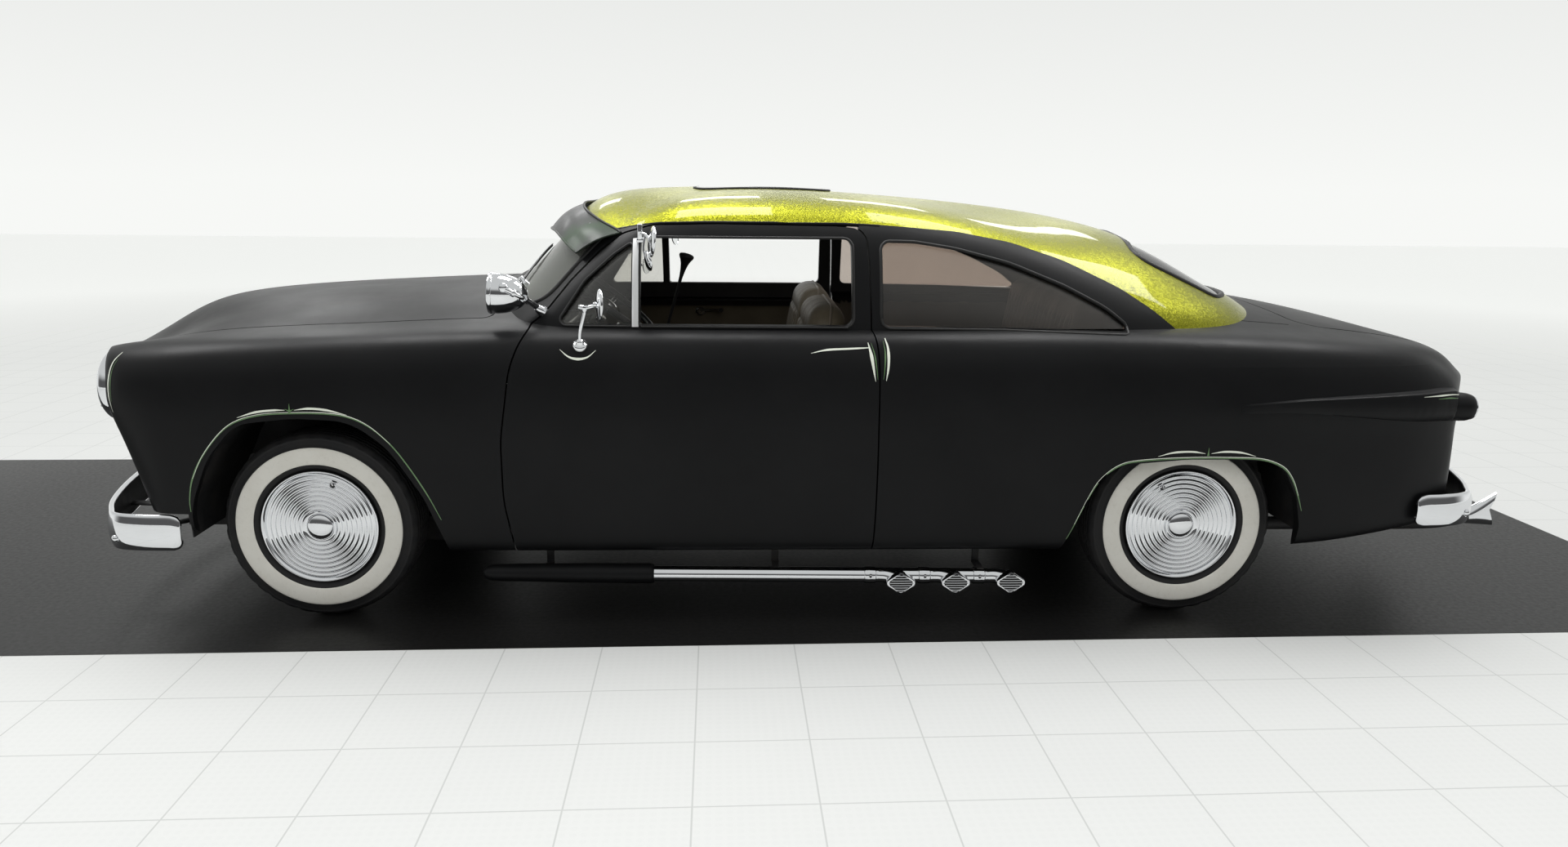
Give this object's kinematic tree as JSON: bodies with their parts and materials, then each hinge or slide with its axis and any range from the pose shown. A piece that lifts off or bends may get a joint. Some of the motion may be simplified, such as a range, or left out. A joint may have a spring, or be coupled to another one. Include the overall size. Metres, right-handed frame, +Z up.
{
  "type": "chopped two-door custom sedan",
  "caption": "Low chopped two-door custom sedan with metal-flake roof, wide whitewall tyres and lake pipes; doors, hood, trunk lid, steering and wheels move.",
  "frame": {"origin": "on the ground under the middle of the overall length, on the middle plane", "axes": "-X towards the front of the car, -Y to the driver's left, +Z up"},
  "size_m": [5.016, 1.884, 1.4309],
  "materials": {
    "matte_black_paint": "satin matte",
    "gold_flake_paint": "metal-flake gloss",
    "chrome": "polished",
    "tyre": "matte",
    "chassis_black": "satin",
    "clear_glass": "clear",
    "bronze_glass": "tinted",
    "dark_glass": "tinted",
    "tan_leather": "satin",
    "engine_iron": "cast",
    "red_lens": "gloss",
    "black_plastic": "satin",
    "carpet": "pile"
  },
  "bodies": {
    "car_body": {"chassis_frame": "chassis_black", "cowl_and_firewall": "matte_black_paint", "dashboard_and_column": "black_plastic", "driveline": "engine_iron", "engine_and_radiator": "engine_iron", "floor_pan": "chassis_black", "front_bumper": "chrome", "front_fender_left": "matte_black_paint", "front_fender_right": "matte_black_paint", "front_seat": "tan_leather", "front_suspension": "chassis_black", "fuel_tank": "chassis_black", "grille_bars": "chrome", "grille_panel": "matte_black_paint", "headlights": "clear_glass", "inner_fenders": "chassis_black", "lake_pipes": "chrome", "parcel_shelf": "carpet", "plate_bracket": "chassis_black", "quarter_panel_left": "matte_black_paint", "quarter_panel_right": "matte_black_paint", "quarter_windows": "bronze_glass", "rear_axle_and_springs": "chassis_black", "rear_bumper": "chrome", "rear_panel": "matte_black_paint", "rear_seat": "tan_leather", "rear_window": "clear_glass", "roof": "gold_flake_paint", "shift_lever": "black_plastic", "spotlights": "chrome", "sun_visor": "dark_glass", "sunroof": "dark_glass", "tail_lights": "red_lens", "tail_pipes": "chrome", "upper_back_panel": "matte_black_paint", "wheelhouses": "chassis_black", "windshield": "clear_glass", "windshield_frame": "matte_black_paint"},
    "hood": {"hood": "matte_black_paint"},
    "trunk_lid": {"trunk_lid": "matte_black_paint"},
    "door_left": {"door_left": "matte_black_paint", "vent_window_left": "bronze_glass", "door_card_left": "tan_leather", "door_mirror_left": "chrome"},
    "door_right": {"door_right": "matte_black_paint", "vent_window_right": "bronze_glass", "door_card_right": "tan_leather", "door_mirror_right": "chrome"},
    "knuckle_left": {"knuckle_left": "chassis_black"},
    "knuckle_right": {"knuckle_right": "chassis_black"},
    "wheel_front_left": {"tyre_front_left": "tyre", "wheel_front_left": "chrome"},
    "wheel_front_right": {"tyre_front_right": "tyre", "wheel_front_right": "chrome"},
    "wheel_rear_left": {"tyre_rear_left": "tyre", "wheel_rear_left": "chrome"},
    "wheel_rear_right": {"tyre_rear_right": "tyre", "wheel_rear_right": "chrome"},
    "steering_wheel": {"steering_wheel": "black_plastic"}
  },
  "joints": [
    {"name": "hood_hinge", "type": "hinge", "parent": "car_body", "child": "hood", "pos_m": [-1.052, 0, 1.098], "axis": [0, 1, 0], "range_deg": [0, 50]},
    {"name": "trunk_lid_hinge", "type": "hinge", "parent": "car_body", "child": "trunk_lid", "pos_m": [1.674, 0, 1.046], "axis": [0, -1, 0], "range_deg": [0, 60]},
    {"name": "door_left_hinge", "type": "hinge", "parent": "car_body", "child": "door_left", "pos_m": [-0.982, -0.924, 0.65], "axis": [0, 0, -1], "range_deg": [0, 65]},
    {"name": "door_right_hinge", "type": "hinge", "parent": "car_body", "child": "door_right", "pos_m": [-0.982, 0.924, 0.65], "axis": [0, 0, 1], "range_deg": [0, 65]},
    {"name": "steer_left", "type": "hinge", "parent": "car_body", "child": "knuckle_left", "pos_m": [-1.63, -0.628, 0.318], "axis": [0, 0, 1], "range_deg": [-30, 30]},
    {"name": "steer_right", "type": "hinge", "parent": "car_body", "child": "knuckle_right", "pos_m": [-1.63, 0.628, 0.318], "axis": [0, 0, 1], "range_deg": [-30, 30]},
    {"name": "steering_wheel_turn", "type": "hinge", "parent": "car_body", "child": "steering_wheel", "pos_m": [-0.702, -0.37, 1.028], "axis": [0.6198, 0, 0.7848], "range_deg": [-480, 480]},
    {"name": "spin_front_left", "type": "hinge", "parent": "knuckle_left", "child": "wheel_front_left", "pos_m": [-1.63, -0.711, 0.318], "axis": [0, 1, 0], "continuous": true},
    {"name": "spin_front_right", "type": "hinge", "parent": "knuckle_right", "child": "wheel_front_right", "pos_m": [-1.63, 0.711, 0.318], "axis": [0, 1, 0], "continuous": true},
    {"name": "spin_rear_left", "type": "hinge", "parent": "car_body", "child": "wheel_rear_left", "pos_m": [1.266, -0.711, 0.318], "axis": [0, 1, 0], "continuous": true},
    {"name": "spin_rear_right", "type": "hinge", "parent": "car_body", "child": "wheel_rear_right", "pos_m": [1.266, 0.711, 0.318], "axis": [0, 1, 0], "continuous": true}
  ],
  "couplings": [
    {"joint": "steer_right", "follows": "steer_left", "ratio": 1},
    {"joint": "steering_wheel_turn", "follows": "steer_left", "ratio": 16}
  ]
}
